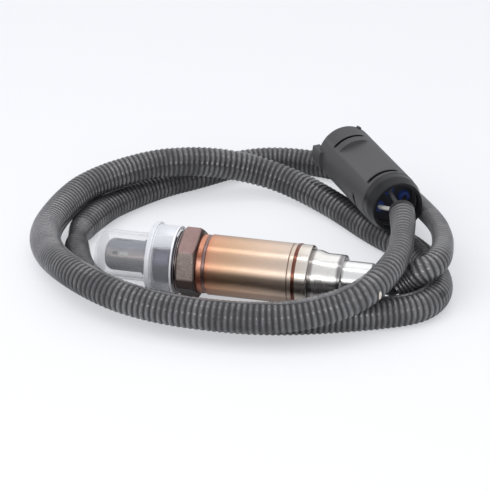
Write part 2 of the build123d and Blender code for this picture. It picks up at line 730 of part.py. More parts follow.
def plug_wire(angle):
    """One wire, from its contact through its seal, then in to the end of the conduit."""
    wide = pin_circle_d / 2
    close = conduit_d / 4
    barrel_x = cavity_depth + web_t + 2 * face_gap + carrier_stop
    start_x = barrel_x + pin_barrel_len - crimp_depth + slip
    bend_x = carrier_rear_x + seal_len - seal_depth + 2 * face_gap
    end_x = plug_body_len + ring_len + wire_past
    points = [(start_x, 0, wide), (bend_x, 0, wide), (bend_x + conduit_entry, 0, close),
              (end_x, 0, close)]
    path = FilletPolyline(*points, radius=wire_d)
    wire = sweep(Plane(origin=path @ 0, z_dir=path % 0) * Circle(wire_d / 2), path=path)
    wire = plug_place * (Rot(angle, 0, 0) * wire)
    conduit_end = Vector(*conduit_route[-1])
    heading = conduit_end - Vector(*conduit_route[-2])
    beyond = Plane(origin=conduit_end, z_dir=-heading) * Pos(0, 0, plug_d / 2)
    return wire - beyond * Box(plug_d, plug_d, plug_d)


nodes = {
    "protective_cap": protective_cap(),
    "probe_shield": probe_shield(),
    "sensing_element": sensing_element(),
    "heater_rod": heater_rod(),
    "inner_contact": inner_contact(),
    "element_seal_ring": element_seal_ring(),
    "housing_shell": housing_shell(),
    "seal_gasket": seal_gasket(),
    "support_ceramic": support_ceramic(),
    "terminal_holder": terminal_holder(),
    "crimp_terminals": crimp_terminals(),
    "disc_spring": disc_spring(),
    "front_sleeve": front_sleeve(),
    "rear_sleeve": rear_sleeve(),
    "wires_white": Compound([sensor_wire(45), sensor_wire(135)]),
    "wire_black": sensor_wire(225),
    "wire_grey": sensor_wire(315),
    "lead_grommet": lead_grommet(),
    "lead_sheath": lead_sheath(),
    "conduit": conduit(),
    "plug_housing": plug_place * plug_housing(),
    "plug_rear_ring": plug_place * plug_rear_ring(),
    "plug_insert": plug_place * plug_insert(),
    "plug_pins": plug_place * plug_pins(),
    "plug_front_seal": plug_place * plug_front_seal(),
    "wire_seals": plug_place * wire_seals(),
    "plug_wires_white": Compound([plug_wire(90), plug_wire(180)]),
    "plug_wire_black": plug_wire(270),
    "plug_wire_grey": plug_wire(0),
}

for name, shape in nodes.items():
    export_step(shape, f"parts/{name}.step")
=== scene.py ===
from bisect import bisect_right
from math import atan2, cos, pi, radians, sin

import bmesh
import bpy
from mathutils import Matrix, Vector


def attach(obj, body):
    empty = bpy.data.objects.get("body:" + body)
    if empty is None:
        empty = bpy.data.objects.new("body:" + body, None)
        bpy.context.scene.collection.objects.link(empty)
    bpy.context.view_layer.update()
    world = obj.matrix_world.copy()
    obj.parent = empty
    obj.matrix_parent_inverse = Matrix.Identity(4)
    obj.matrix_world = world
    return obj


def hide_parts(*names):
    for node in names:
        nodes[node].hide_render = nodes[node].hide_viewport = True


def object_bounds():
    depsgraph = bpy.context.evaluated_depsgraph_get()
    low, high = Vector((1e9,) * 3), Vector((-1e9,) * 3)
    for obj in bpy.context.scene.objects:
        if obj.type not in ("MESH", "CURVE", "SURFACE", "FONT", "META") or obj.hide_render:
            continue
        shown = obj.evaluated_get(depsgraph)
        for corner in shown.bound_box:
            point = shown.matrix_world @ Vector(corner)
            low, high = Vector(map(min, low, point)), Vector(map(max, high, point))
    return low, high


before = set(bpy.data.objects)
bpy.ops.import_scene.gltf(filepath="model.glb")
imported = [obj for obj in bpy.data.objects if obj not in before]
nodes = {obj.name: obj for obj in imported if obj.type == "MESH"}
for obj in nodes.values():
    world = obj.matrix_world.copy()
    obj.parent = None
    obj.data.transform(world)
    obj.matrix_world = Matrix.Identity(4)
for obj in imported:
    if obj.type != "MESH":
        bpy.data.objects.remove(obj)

# Heated oxygen sensor: steel sensor with its frosted cap, ribbed conduit lead, round plug.
# Metres, with sizes written in millimetres times mm.  +X runs along the sensor, +Z is up.

cad_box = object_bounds()
mm = 0.001
floor_z = cad_box[0][2]

# ---------------------------------------------------------------- camera

camera_place = (0.28373, -1.00059, 0.49137)
camera_turn = radians(14.5)             # round to the object's right
camera_drop = radians(25.0)             # looking down by this much
camera_lens = 227.3


def add_camera():
    """Long lens from the front right, a little above."""
    back = Vector((sin(camera_turn) * cos(camera_drop),
                   -cos(camera_turn) * cos(camera_drop), sin(camera_drop)))
    camera = bpy.data.objects.new("camera", bpy.data.cameras.new("camera"))
    bpy.context.collection.objects.link(camera)
    camera.data.sensor_width = 36
    camera.data.lens = camera_lens
    turn = (-back).to_track_quat("-Z", "Y").to_matrix().to_4x4()
    camera.matrix_world = Matrix.Translation(camera_place) @ turn
    bpy.context.scene.camera = camera


add_camera()

# ---------------------------------------------------------------- shader sums


class Shade:
    """A socket in a material's nodes; sums on it are written as Python expressions."""

    def __init__(self, tree, socket=None):
        self.tree = tree
        self.socket = socket

    def node(self, kind, inputs=None, output=0, **settings):
        """Add a node: its settings first, then the values or links of its sockets."""
        made = self.tree.nodes.new("ShaderNode" + kind)
        for name, value in settings.items():
            if name == "stops":
                set_stops(made.color_ramp, value)
            else:
                setattr(made, name, value)
        for name, value in (inputs or {}).items():
            if isinstance(value, Shade):
                self.tree.links.new(value.socket, made.inputs[name])
            else:
                made.inputs[name].default_value = value
        return Shade(self.tree, made.outputs[output] if made.outputs else None)

    def math(self, operation, *values):
        return self.node("Math", dict(enumerate(values)), operation=operation)

    def __add__(self, other):
        return self.math("ADD", self, other)

    def __sub__(self, other):
        return self.math("SUBTRACT", self, other)

    def __rsub__(self, other):
        return self.math("SUBTRACT", other, self)

    def __mul__(self, other):
        return self.math("MULTIPLY", self, other)

    def __truediv__(self, other):
        return self.math("DIVIDE", self, other)

    def __pow__(self, other):
        return self.math("POWER", self, other)

    __radd__ = __add__
    __rmul__ = __mul__

    def clamped(self):
        """The value held between 0 and 1."""
        return self.node("Clamp", {0: self})

    def band(self, low, high, soft):
        """1 between two values and 0 outside them, with soft edges."""
        rise = ((self - low) / soft + 0.5).clamped()
        fall = ((high - self) / soft + 0.5).clamped()
        return rise * fall

    def ramp(self, stops, low=0.0, high=1.0):
        """A colour ramp, with its stops between the two values given."""
        share = (self - low) / (high - low)
        scaled = [((at - low) / (high - low), colour) for at, colour in stops]
        return self.node("ValToRGB", {0: share}, stops=scaled)

    def mix(self, low, high):
        """From the low colour to the high one as this value goes from 0 to 1."""
        return self.node("Mix", {0: self, 6: low, 7: high}, output=2, data_type="RGBA")


def set_stops(ramp, stops):
    """Give a colour ramp its stops, each a place and a colour."""
    while len(ramp.elements) < len(stops):
        ramp.elements.new(1.0)
    for element, (place, colour) in zip(ramp.elements, stops):
        element.position = place
        element.color = colour


def rgb(red, green, blue):
    """An opaque colour."""
    return (red, green, blue, 1.0)


def new_material(name):
    """An empty material and the start of its nodes."""
    material = bpy.data.materials.new(name)
    material.use_nodes = True
    material.node_tree.nodes.clear()
    return material, Shade(material.node_tree)


def place_on(shade, stretch=(1, 1, 1), attribute=None):
    """Coordinates in millimetres on the piece, or those that an attribute holds."""
    if attribute:
        source = shade.node("Attribute", output=1, attribute_name=attribute)
    else:
        source = shade.node("TexCoord", output=3)
    scale = [factor / mm for factor in stretch]
    return source.node("Mapping", {0: source, 3: scale})


def noise(place, scale, detail=3.0, rough=0.5):
    """Cloudy noise from 0 to 1, about one patch for each 1 / scale mm."""
    return place.node("TexNoise", {0: place, 2: scale, 3: detail, 4: rough})


def split(place):
    """The x, y and z of a place."""
    return [place.node("SeparateXYZ", {0: place}, output=i) for i in range(3)]


def spot(place, centre, reach):
    """1 inside a soft-edged ellipsoid with these half sizes in millimetres, 0 outside it."""
    inputs = {0: place, 1: [-c / r for c, r in zip(centre, reach)], 3: [1 / r for r in reach]}
    moved = place.node("Mapping", inputs)
    far = place.node("VectorMath", {0: moved}, output=1, operation="LENGTH")
    return ((1.0 - far) * 3.0 + 0.5).clamped()


def bumped(height, strength, depth):
    """Normals from a height from 0 to 1, of the given depth in millimetres."""
    inputs = {"Strength": strength, "Distance": depth * mm, "Height": height}
    return height.node("Bump", inputs)


def finish(material, shade, **sockets):
    """Put a principled surface on the material, with the sockets named in words."""
    inputs = {name.replace("_", " ").title().replace("Ior", "IOR"): value
              for name, value in sockets.items()}
    surface = shade.node("BsdfPrincipled", inputs)
    shade.node("OutputMaterial", {0: surface})
    return material


# ---------------------------------------------------------------- sizes and colours

# The conduit's painted shade deepens over this depth.
loop_depth = 90.0               # from the sensor's axis to the back of the loops
# The nicks are only painted; the near-black inside the second one is painted shade in the cut.
conduit_nicks = [       # place, turn, radius, half width, half height, colour inside
    (876.6, -103, 5.5, 0.62, 2.1, rgb(0.66, 0.60, 0.52)),
    (465.5, -56, 5.9, 1.5, 0.7, rgb(0.004, 0.004, 0.004)),
]
nick_rim = (0.7, 0.8)           # dark edge round a nick, along the conduit and round it

# Place of the plug: centre of its open front, direction seen from above, and how far its
# flat and its side slit are turned round it from the top.
plug_front = (41.1, 95.1, 8.7)
plug_heading = radians(-56.3)
flat_turn = radians(15.0)
side_slit_turn = radians(112.0)
plug_d = 22.6
plug_flat = 9.4                 # height of the flat over the plug's axis
front_slit = (9.6, 11.3)        # from and to, along the plug
rear_slit = (45.5, 47.2)
side_slit = (37.1, 39.8)
side_slit_floor = 10.3          # out from the plug's axis

cap_haze = 0.105                # how solid one wall of the clear part looks
# High on the skirt, the solid white band is a painted reflection of the light from above.
skirt_haze_and_reflection = [          # height on the cap's skirt, and how solid its wall looks there
    (-11.44, 0.72), (-6.76, 0.42), (-2.6, 0.07), (8.32, 0.05), (9.36, 0.32), (11.7, 0.46),
]
turning_marks = (9, 0.4, 0.4)   # noise drawn out round the axis
hex_roll = 8.7                  # degrees that the front flat looks up

# Colours along the sensor, each from the place where it is reached.
sleeve_stops = [
    (11.0, rgb(0.20, 0.13, 0.12)), (12.0, rgb(0.26, 0.18, 0.17)),       # necked front edge
    (12.4, rgb(0.52, 0.23, 0.14)), (14.0, rgb(0.55, 0.30, 0.19)),
    (22.0, rgb(0.54, 0.36, 0.24)), (34.0, rgb(0.60, 0.45, 0.35)),
    (42.9, rgb(0.58, 0.47, 0.39)), (43.25, rgb(0.22, 0.16, 0.13)),      # fine line
    (43.6, rgb(0.58, 0.48, 0.40)),
]
rear_stops = [
    (44.9, rgb(0.15, 0.060, 0.045)), (46.0, rgb(0.17, 0.065, 0.045)),   # weld bead
    (46.25, rgb(0.62, 0.55, 0.48)), (50.3, rgb(0.66, 0.62, 0.57)),
    # Painted shade: the dark stops at each step lie on its shoulder.
    (50.9, rgb(0.22, 0.20, 0.19)), (51.7, rgb(0.30, 0.28, 0.27)),       # first step
    (52.4, rgb(0.68, 0.66, 0.63)), (60.5, rgb(0.70, 0.69, 0.67)),
    (61.6, rgb(0.20, 0.19, 0.19)), (62.6, rgb(0.28, 0.27, 0.27)),       # last step
    (63.2, rgb(0.72, 0.72, 0.71)),
]
housing_stops = [
    (-12.0, rgb(0.30, 0.29, 0.31)), (-10.0, rgb(0.10, 0.105, 0.15)),    # nose, thread
    (0.5, rgb(0.07, 0.07, 0.10)), (1.4, rgb(0.030, 0.020, 0.020)),
    (1.9, rgb(0.235, 0.150, 0.140)), (8.0, rgb(0.22, 0.136, 0.127)),    # hexagon
    (8.4, rgb(0.030, 0.016, 0.014)), (8.9, rgb(0.16, 0.055, 0.035)),
    (9.3, rgb(0.60, 0.27, 0.17)), (10.9, rgb(0.62, 0.30, 0.19)),        # collar
]
# The dark bands across the gasket, between its light ones, are painted shade.
gasket_stops = [
    (0.1, rgb(0.16, 0.13, 0.13)), (0.35, rgb(0.42, 0.38, 0.37)), (0.6, rgb(0.05, 0.04, 0.04)),
    (0.8, rgb(0.05, 0.04, 0.04)), (1.05, rgb(0.30, 0.25, 0.24)), (1.35, rgb(0.06, 0.04, 0.04)),
]
# The collar's light and dark streaks by height are painted reflections on its copper tint.
collar_stops = [        # by height on the collar, which is streaked light and dark
    (-10.08, rgb(0.12, 0.035, 0.025)), (-5.28, rgb(0.42, 0.17, 0.11)),
    (-1.92, rgb(0.20, 0.060, 0.040)), (1.44, rgb(0.60, 0.26, 0.17)),
    (4.8, rgb(0.72, 0.38, 0.27)), (6.72, rgb(0.26, 0.090, 0.055)),
    (9.6, rgb(0.55, 0.24, 0.15)),
]
# Dark bands near the shield's top and on its underside are painted shade; the brown between is
# its tint.
shield_stops = [        # by height on the shield
    (-1.0, rgb(0.030, 0.029, 0.036)), (0.8, rgb(0.085, 0.075, 0.08)),
    (2.0, rgb(0.19, 0.155, 0.145)), (3.6, rgb(0.17, 0.15, 0.15)),
    (4.8, rgb(0.06, 0.063, 0.09)),
]

# ---------------------------------------------------------------- materials: lead and plug


def ribbed_polyamide():
    """Dark grey conduit: painted shade in its grooves, scuffed glossy ribs, a painted sheen
    where it is bent hard, and painted shade towards the back of the loops.
    """
    material, shade = new_material("ribbed_polyamide")
    place = place_on(shade, attribute="straight")
    crest = shade.node("Attribute", output=2, attribute_name="crest")
    # Painted sheen: the stretches' last column makes the hard bends paler, for the light their
    # ribs catch.
    strained = shade.node("Attribute", output=2, attribute_name="strained")
    dust = (noise(place, 0.30, 5.0, 0.6) * 2.4 - 0.7).clamped()
    scuff = (noise(place, 1.1, 4.0, 0.7) * 2.6 - 0.8).clamped()
    patch = (noise(place, 0.10, 3.0, 0.6) * 3.4 - 1.2).clamped()
    # Painted shade: the ribs darken towards the back of the loops, where less light falls.
    back = (split(place_on(shade))[1] / loop_depth).clamped()
    # Painted shade: the grooves are painted near black, and less dark on the hard bends.
    groove = strained.mix(rgb(0.010, 0.0096, 0.0115), rgb(0.050, 0.049, 0.054))
    rib = dust.mix(rgb(0.040, 0.0385, 0.0445), rgb(0.094, 0.0905, 0.102))
    rib = (back * 0.45).mix(rib, rgb(0.022, 0.021, 0.025))
    # Painted sheen: pale ribs on the hard bends.
    rib = strained.mix(rib, rgb(0.360, 0.355, 0.370))
    # Painted shade: crests take the rib colour and grooves the dark groove colour.
    colour = (crest ** 1.5 * (0.45 + 0.55 * scuff)).clamped().mix(groove, rib)
    for at, turn, radius, width, height, inside in conduit_nicks:
        centre = (at, radius * sin(radians(turn)), radius * cos(radians(turn)))
        rim = (width + nick_rim[0], height + nick_rim[1], height + nick_rim[1])
        colour = spot(place, centre, rim).mix(colour, rgb(0.006, 0.006, 0.007))
        colour = spot(place, centre, (width, height, height)).mix(colour, inside)
    wet = (patch * 0.9 + 0.25) * crest
    return finish(material, shade, base_color=colour, roughness=0.42 + 0.16 * dust,
                  coat_weight=wet.clamped(), coat_roughness=0.17, coat_ior=1.9,
                  normal=bumped(scuff, 0.7, 0.22))


def soft_black(name, colour, roughness, mirror=0.5):
    """Plain dark rubber or plastic with a faint grain."""
    material, shade = new_material(name)
    place = place_on(shade)
    cloud = noise(place, 0.5, 4.0)
    grain = noise(place, 9.0, 2.0)
    paler = rgb(*[c * 1.7 + 0.004 for c in colour])
    return finish(material, shade, base_color=cloud.mix(rgb(*colour), paler),
                  roughness=roughness - 0.08 + 0.16 * cloud, specular_ior_level=mirror,
                  normal=bumped(grain, 0.15, 0.05))


def moulded_plug():
    """Dark grey moulded plug, scuffed, with painted light on its top flat and painted shade in
    the slits on its flat and its side.
    """
    material, shade = new_material("moulded_plug_polyamide")
    place = place_on(shade)
    x, y, z = [part - front for part, front in zip(split(place), plug_front)]
    along = x * cos(plug_heading) + y * sin(plug_heading)
    across = y * cos(plug_heading) - x * sin(plug_heading)
    above = z * cos(flat_turn) - across * sin(flat_turn)
    beside = z * cos(side_slit_turn) - across * sin(side_slit_turn)
    cloud = noise(place, 0.25, 5.0, 0.6)
    grain = noise(place, 5.0, 3.0)
    tone = cloud.mix(rgb(0.030, 0.029, 0.032), rgb(0.048, 0.047, 0.051))
    # Painted light: the top flat is painted paler where light from above falls on it.
    painted_light_on_flat = above.band(plug_flat - 0.4, plug_flat + 0.3, 0.3) * 0.5
    tone = painted_light_on_flat.mix(tone, rgb(0.070, 0.069, 0.073))
    # Painted shade: the slits on the flat and on the side are painted black.
    slits = along.band(*front_slit, 0.15) + along.band(*rear_slit, 0.15)
    slits = slits * above.band(plug_flat - 0.15, plug_d, 0.1)
    slits = slits + along.band(*side_slit, 0.3) * beside.band(side_slit_floor, plug_d, 0.1)
    tone = slits.clamped().mix(tone, rgb(0.003, 0.003, 0.003))
    return finish(material, shade, base_color=tone, roughness=0.46 + 0.14 * cloud,
                  specular_ior_level=0.4, normal=bumped(grain, 0.25, 0.05))


def clean_insulation(name, colour):
    """Smooth wire insulation or seal, slightly uneven in tone."""
    material, shade = new_material(name)
    cloud = noise(place_on(shade), 0.8, 3.0)
    darker = rgb(*[c * 0.82 for c in colour])
    return finish(material, shade, base_color=cloud.mix(darker, rgb(*colour)),
                  roughness=0.38 + 0.1 * cloud)


# ---------------------------------------------------------------- materials: sensor


def frosted_polyethylene():
    """Milky cap: clear over the shield, hazier at its rims, whiter low on its skirt, and with
    a painted reflection high on it.
    """
    material, shade = new_material("frosted_polyethylene")
    place = place_on(shade)
    x, y, z = split(place)
    cloud = noise(place, 0.25, 4.0)
    streak = noise(place_on(shade, stretch=(0.15, 1.4, 1.4)), 1.0, 3.0)
    edge = shade.node("LayerWeight", {0: 0.35}, output=1)
    # Painted reflection: the white band high on the skirt stands for the light from above.
    haze_and_reflection = (z + (streak - 0.5) * 2.08).ramp([
        (level, rgb(share, share, share)) for level, share in skirt_haze_and_reflection], -13, 13)
    skirt = x.band(-8.6, 2.0, 0.4)
    flange = x.band(-10.4, -8.0, 0.3) * 0.4
    open_rim = x.band(-0.8, 1.0, 0.2) * 0.5
    closed_end = x.band(-34.0, -29.8, 0.6) * 0.12
    alpha = cap_haze + 0.02 * cloud + skirt * (haze_and_reflection - cap_haze) + 0.6 * edge ** 2.2
    alpha = (alpha + flange + open_rim + closed_end).clamped()
    return finish(material, shade, base_color=rgb(0.80, 0.81, 0.85), alpha=alpha,
                  roughness=0.48 + 0.06 * cloud, normal=bumped(streak, 0.03, 0.1))


def tinted_housing():
    """Dark bluish thread, mottled brown hexagon and copper collar, both with painted light and
    shade.
    """
    material, shade = new_material("tinted_housing_steel")
    place = place_on(shade)
    x, y, z = split(place)
    turn = shade.math("ARCTAN2", z, 0.0 - y) * (180 / pi)     # degrees up from the front
    cloud = noise(place, 0.4, 5.0, 0.65)
    fine = noise(place, 2.2, 4.0, 0.7)
    scale = (fine * 2.6 - 0.8).clamped()
    tone = (x + (cloud - 0.5) * 0.5).ramp(housing_stops, -12, 12)
    hexagon = x.band(1.5, 8.5, 0.25)
    # Painted light: the front flat's pale grey mottle is partly its scale, partly painted for
    # the light on it.
    front_flat = turn.band(-8.0, hex_roll + 30, 4.0) * hexagon
    # Painted shade: the hexagon's lower faces are painted near black.
    under = turn.band(-112.0, -8.0, 4.0) * hexagon
    mottle = scale.mix(rgb(0.10, 0.078, 0.062), rgb(0.44, 0.41, 0.37))
    stain = (cloud * 3.0 - 1.1).clamped() * hexagon * 0.6
    tone = stain.mix(tone, rgb(0.30, 0.205, 0.19))
    tone = (front_flat * (0.35 + 0.65 * cloud)).clamped().mix(tone, mottle)
    tone = (under * 0.92).mix(tone, rgb(0.018, 0.013, 0.012))
    pits = (noise(place, 1.5, 4.0, 0.75) * 6.0 - 3.55).clamped()
    tone = (pits * hexagon * 0.9).clamped().mix(tone, rgb(0.020, 0.014, 0.014))
    chamfers = 1.0 - x.band(1.95, 8.0, 0.5)
    tone = (chamfers * hexagon * 0.85).clamped().mix(tone, rgb(0.030, 0.018, 0.018))
    # Painted reflections: light and dark streaks by height on the collar.
    collar_tint_and_reflection = (z + (cloud - 0.5) * 1.5).ramp(collar_stops, -12, 12)
    tone = x.band(9.1, 12.0, 0.3).mix(tone, collar_tint_and_reflection)
    return finish(material, shade, base_color=tone, metallic=0.85 - 0.45 * hexagon,
                  roughness=0.34 + 0.16 * hexagon + 0.10 * (fine - 0.5),
                  normal=bumped(scale + pits, 0.35, 0.12))


def turned_steel(name, stops, low, high, roughness, wander=0.8, shade_below_height=None):
    """Turned metal whose colour changes along the sensor, with fine turning marks, and
    which may have painted shade below a height.
    """
    material, shade = new_material(name)
    place = place_on(shade)
    x, _, z = split(place)
    marks = noise(place_on(shade, stretch=turning_marks), 1.0, 3.0)
    cloud = noise(place, 0.16, 5.0, 0.6)
    colour = (x + (cloud - 0.5) * wander).ramp(stops, low, high)
    smudge = (noise(place, 0.5, 4.0, 0.7) * 3.0 - 1.6).clamped()
    colour = (smudge * 0.16).mix(colour, rgb(0.20, 0.17, 0.15))
    if shade_below_height:
        # Painted shade: darker and browner below the height given.
        under = (shade_below_height - z).clamped() * 0.55
        colour = under.mix(colour, rgb(0.16, 0.10, 0.08))
    return finish(material, shade, base_color=colour, metallic=1.0,
                  roughness=roughness + 0.10 * (marks - 0.5) + 0.14 * (cloud - 0.5),
                  normal=bumped(marks, 0.08, 0.03))


def shield_with_painted_shade():
    """Drawn steel shield: brownish, with dark bluish bands of painted shade near its top and
    on its underside.
    """
    material, shade = new_material("drawn_shield_steel")
    place = place_on(shade)
    z = split(place)[2]
    cloud = noise(place, 0.3, 4.0)
    # Painted shade: darker near the top and the underside of the shield.
    colour = (z + (cloud - 0.5) * 2.5).ramp(shield_stops, -6, 6)
    marks = noise(place_on(shade, stretch=turning_marks), 1.0, 3.0)
    return finish(material, shade, base_color=colour, metallic=1.0,
                  roughness=0.30 + 0.12 * (marks - 0.5), normal=bumped(marks, 0.08, 0.03))


def plated(name, colour, roughness):
    """Metal of one colour, with the same fine marks."""
    return turned_steel(name, [(0.0, rgb(*colour)), (1.0, rgb(*colour))], 0, 1, roughness)


def ceramic(name, colour):
    """Fine unglazed ceramic."""
    material, shade = new_material(name)
    place = place_on(shade)
    cloud = noise(place, 0.6, 4.0)
    darker = rgb(*[c * 0.88 for c in colour])
    return finish(material, shade, base_color=cloud.mix(darker, rgb(*colour)), roughness=0.6,
                  normal=bumped(noise(place, 6.0), 0.2, 0.05))


looks = {
    "protective_cap": frosted_polyethylene(),
    "probe_shield": shield_with_painted_shade(),
    "sensing_element": ceramic("zirconia", (0.72, 0.72, 0.68)),
    "heater_rod": ceramic("heater_ceramic", (0.45, 0.43, 0.40)),
    "inner_contact": plated("contact_nickel", (0.66, 0.62, 0.55), 0.3),
    "housing_shell": tinted_housing(),
    "seal_gasket": turned_steel("gasket_steel", gasket_stops, -0.2, 1.6, 0.35, wander=0.1),
    "support_ceramic": ceramic("insulator_ceramic", (0.76, 0.73, 0.68)),
    "disc_spring": plated("spring_steel", (0.5, 0.5, 0.52), 0.3),
    "front_sleeve": turned_steel("heat_tinted_sleeve_steel", sleeve_stops, 10, 45, 0.33,
                                 wander=0.2, shade_below_height=-4.5),
    "rear_sleeve": turned_steel("bright_sleeve_steel", rear_stops, 40, 75, 0.25, wander=0.3),
    "wires_white": clean_insulation("white_insulation", (0.78, 0.77, 0.74)),
    "wire_black": clean_insulation("black_insulation", (0.02, 0.02, 0.02)),
    "wire_grey": clean_insulation("grey_insulation", (0.09, 0.09, 0.10)),
    "lead_grommet": clean_insulation("grommet_fluoropolymer", (0.60, 0.68, 0.82)),
    "plug_housing": moulded_plug(),
    "plug_rear_ring": soft_black("ring_polyamide", (0.006, 0.006, 0.007), 0.36, 0.2),
    "plug_insert": soft_black("carrier_polyamide", (0.014, 0.015, 0.020), 0.5, 0.3),
    "plug_pins": plated("plated_contact_metal", (0.62, 0.56, 0.42), 0.25),
    "wire_seals": clean_insulation("blue_seal_silicone", (0.020, 0.045, 0.20)),
}
looks["element_seal_ring"] = looks["inner_contact"]
looks["crimp_terminals"] = looks["inner_contact"]
looks["terminal_holder"] = looks["support_ceramic"]
looks["plug_front_seal"] = looks["wire_seals"]
looks["plug_wires_white"] = looks["wires_white"]
looks["plug_wire_black"] = looks["wire_black"]
looks["plug_wire_grey"] = looks["wire_grey"]

for name, material in looks.items():
    node = nodes[name]
    for slot in node.material_slots:
        slot.material = material

# ---------------------------------------------------------------- lead

conduit_route = [
    (81, 7.5, -4.5), (85, 8.5, -1.6), (89.5, 8, 2.8), (93.5, 11, 4.1), (95, 18, 5.2),
    (94, 28, 5.6), (91, 38.5, 5.5), (87, 48.5, 4.4), (80, 62.5, 2.2), (71, 81, -1.5),
    (57.5, 101.5, -5.5), (39, 116.5, -8.5), (22, 120.5, -8.4), (6, 119.5, -8.4),
    (-6.5, 112.5, -8.4), (-19, 97, -8.35), (-30, 84.5, -8.5), (-40, 69, -8.5), (-47, 53, -8.1),
    (-49.5, 39, -8.5), (-49.5, 28.5, -9.3), (-45, 16, -9.1), (-39.5, 3.5, -8.9),
    (-31.5, -9.5, -8.1), (-22, -17, -8), (-12, -20.6, -8), (7, -25.2, -7.9), (26, -26, -7.9),
    (45, -22.7, -7.9), (61, -16.7, -7.9), (77, -9.4, -7.9), (88.5, -2.5, -7.9),
    (93.5, 4.5, -7.9), (95, 15.5, -8), (90.5, 30, -8.1), (79.5, 48, -8.1), (62.5, 59.5, -8.3),
    (42, 80, -8.3), (21.5, 94, -6.5), (5.5, 95.5, -3), (-7.5, 90, 1), (-21, 82, 3.8),
    (-34.5, 74.5, 3.8), (-52.5, 56.5, 1.7), (-58.5, 39, -1.7), (-60.5, 22, -5.1),
    (-53, 4.5, -5.2), (-35, -21, 0.3), (-17, -32, -0.7), (0.5, -35.6, -2.2),
    (19.5, -37.1, -2.2), (38, -35.6, -2.2), (52.5, -32, -1.2), (64.5, -26, 1),
    (73.5, -20.5, 4.2), (79, -10.5, 7), (81.5, 6, 8.3), (79.5, 23, 8.7), (77, 36, 8.7),
    (74.5, 45, 8.7),
]
sheath_route = [
    (74.4, 0, 0), (77.4, 0.3, -0.2), (78.6, 3.6, -3.8), (79.6, 6.7, -5.3), (85, 9, -2),
]
sheath_rings = 40
sheath_sides = 28
sheath_d = 5.0

# Along the conduit, in mm from its mouth: outside diameter, rib pitch, where its slit is,
# in degrees round from the top towards the left of someone looking along it, and how much
# painted sheen it has where it is bent hard, from 0 to 1.
stretches = [
    (0, 10.0, 1.60, -190, 0.1), (18, 9.8, 1.55, -190, 0.15), (32, 8.2, 1.65, -190, 0.40),
    (45, 7.5, 1.85, -190, 0.50), (75, 7.7, 2.00, -190, 0.40), (100, 8.3, 2.05, -190, 0.20),
    (130, 10.4, 2.10, -190, 0.0), (205, 11.0, 2.10, -190, 0.0), (225, 10.2, 2.00, -190, 0.0),
    (250, 10.6, 1.95, -190, 0.0), (263, 11.4, 1.90, -190, 0.0), (274, 10.6, 1.80, -190, 0.0),
    (284, 7.4, 1.70, -190, 0.0), (291, 9.4, 1.80, -185, 0.0), (301, 9.4, 1.90, -180, 0.0),
    (335, 11.5, 2.10, -160, 0.0), (400, 12.0, 2.10, -60, 0.0), (440, 12.0, 2.10, 12, 0.10),
    (470, 11.8, 2.00, 25, 0.30), (500, 11.5, 2.10, 5, 0.05),
    (557, 11.0, 2.50, -80, 0.0), (582, 11.4, 2.35, -120, 0.0), (610, 12.0, 2.20, -150, 0.0),
    (640, 11.5, 2.00, -185, 0.0), (665, 11.4, 1.90, -200, 0.1), (690, 11.9, 1.45, -240, 0.40),
    (710, 12.0, 1.25, -270, 1.0), (724, 12.0, 1.60, -295, 0.7), (738, 12.0, 2.30, -315, 0.2),
    (750, 12.0, 2.30, -325, 0.0), (775, 12.0, 2.15, -336, 0.0),
    (812, 11.8, 2.20, -343, 0.0), (832, 11.8, 2.20, -345, 0.0),
    (851, 11.7, 2.15, -357, 0.0), (863, 11.6, 2.15, -358, 0.05), (870, 11.3, 2.15, -350, 0.1),
    (878, 10.9, 2.10, -325, 0.15), (888, 10.4, 2.10, -290, 0.25), (905, 9.4, 2.20, -260, 0.30),
    (918, 9.0, 2.30, -250, 0.35), (937, 10.0, 2.40, -250, 0.25),
]
rib_depth = 0.19                # share of the pitch
rib_shape = [           # one rib: share of the pitch, and share of the depth below its crest
    (0.05, 0.40), (0.28, 0.0), (0.51, 0.40), (0.68, 1.0), (0.89, 1.0),
]
mouth_depth = 9.0
conduit_wall = 0.6
plain_end = 3.0                 # without ribs, in the plug's ring
conduit_sides = 36

# The slit: the first sides round the conduit, in degrees from the middle of its lip.  One
# side is the gap under the lip's edge, sunk in and given the grooves' painted shade, and the
# next ones are the lip, on which the ribs are nearly flat.
lip_turns = [-21, -17, -13.5, -5, 4, 12, 16]
gap_side = 1
lip_sides = (2, 3, 4, 5)
lip_ribs = 0.3                  # height of the ribs on the lip, as a share of the others
# On the lip the grooves get little of the painted groove shade.
lip_shine = 0.75                # how much the grooves on the lip look like crests
gap_depth = 1.5                 # depth of the gap, as a share of the ribs' depth


class Route:
    """A smooth line, measured along its length in metres."""

    def __init__(self, controls):
        curve = bpy.data.curves.new("route", "CURVE")
        curve.dimensions = "3D"
        curve.resolution_u = 16
        spline = curve.splines.new("NURBS")
        spline.points.add(len(controls) - 1)
        for point, control in zip(spline.points, controls):
            point.co = (*[c * mm for c in control], 1.0)
        spline.order_u = 3
        spline.use_endpoint_u = True
        line = bpy.data.objects.new("route", curve)
        self.points = [v.co.copy() for v in bpy.data.meshes.new_from_object(line).vertices]
        bpy.data.objects.remove(line)
        self.marks = [0.0]
        for before, here in zip(self.points, self.points[1:]):
            self.marks.append(self.marks[-1] + (here - before).length)
        self.length = self.marks[-1]
        last = len(self.points) - 1
        self.headings = [
            (self.points[min(i + 1, last)] - self.points[max(i - 1, 0)]).normalized()
            for i in range(last + 1)]

    def at(self, distance):
        """The point and the heading at a distance along the line."""
        i = min(max(bisect_right(self.marks, distance), 1), len(self.marks) - 1)
        share = (distance - self.marks[i - 1]) / (self.marks[i] - self.marks[i - 1])
        point = self.points[i - 1].lerp(self.points[i], share)
        heading = self.headings[i - 1].lerp(self.headings[i], share).normalized()
        return point, heading


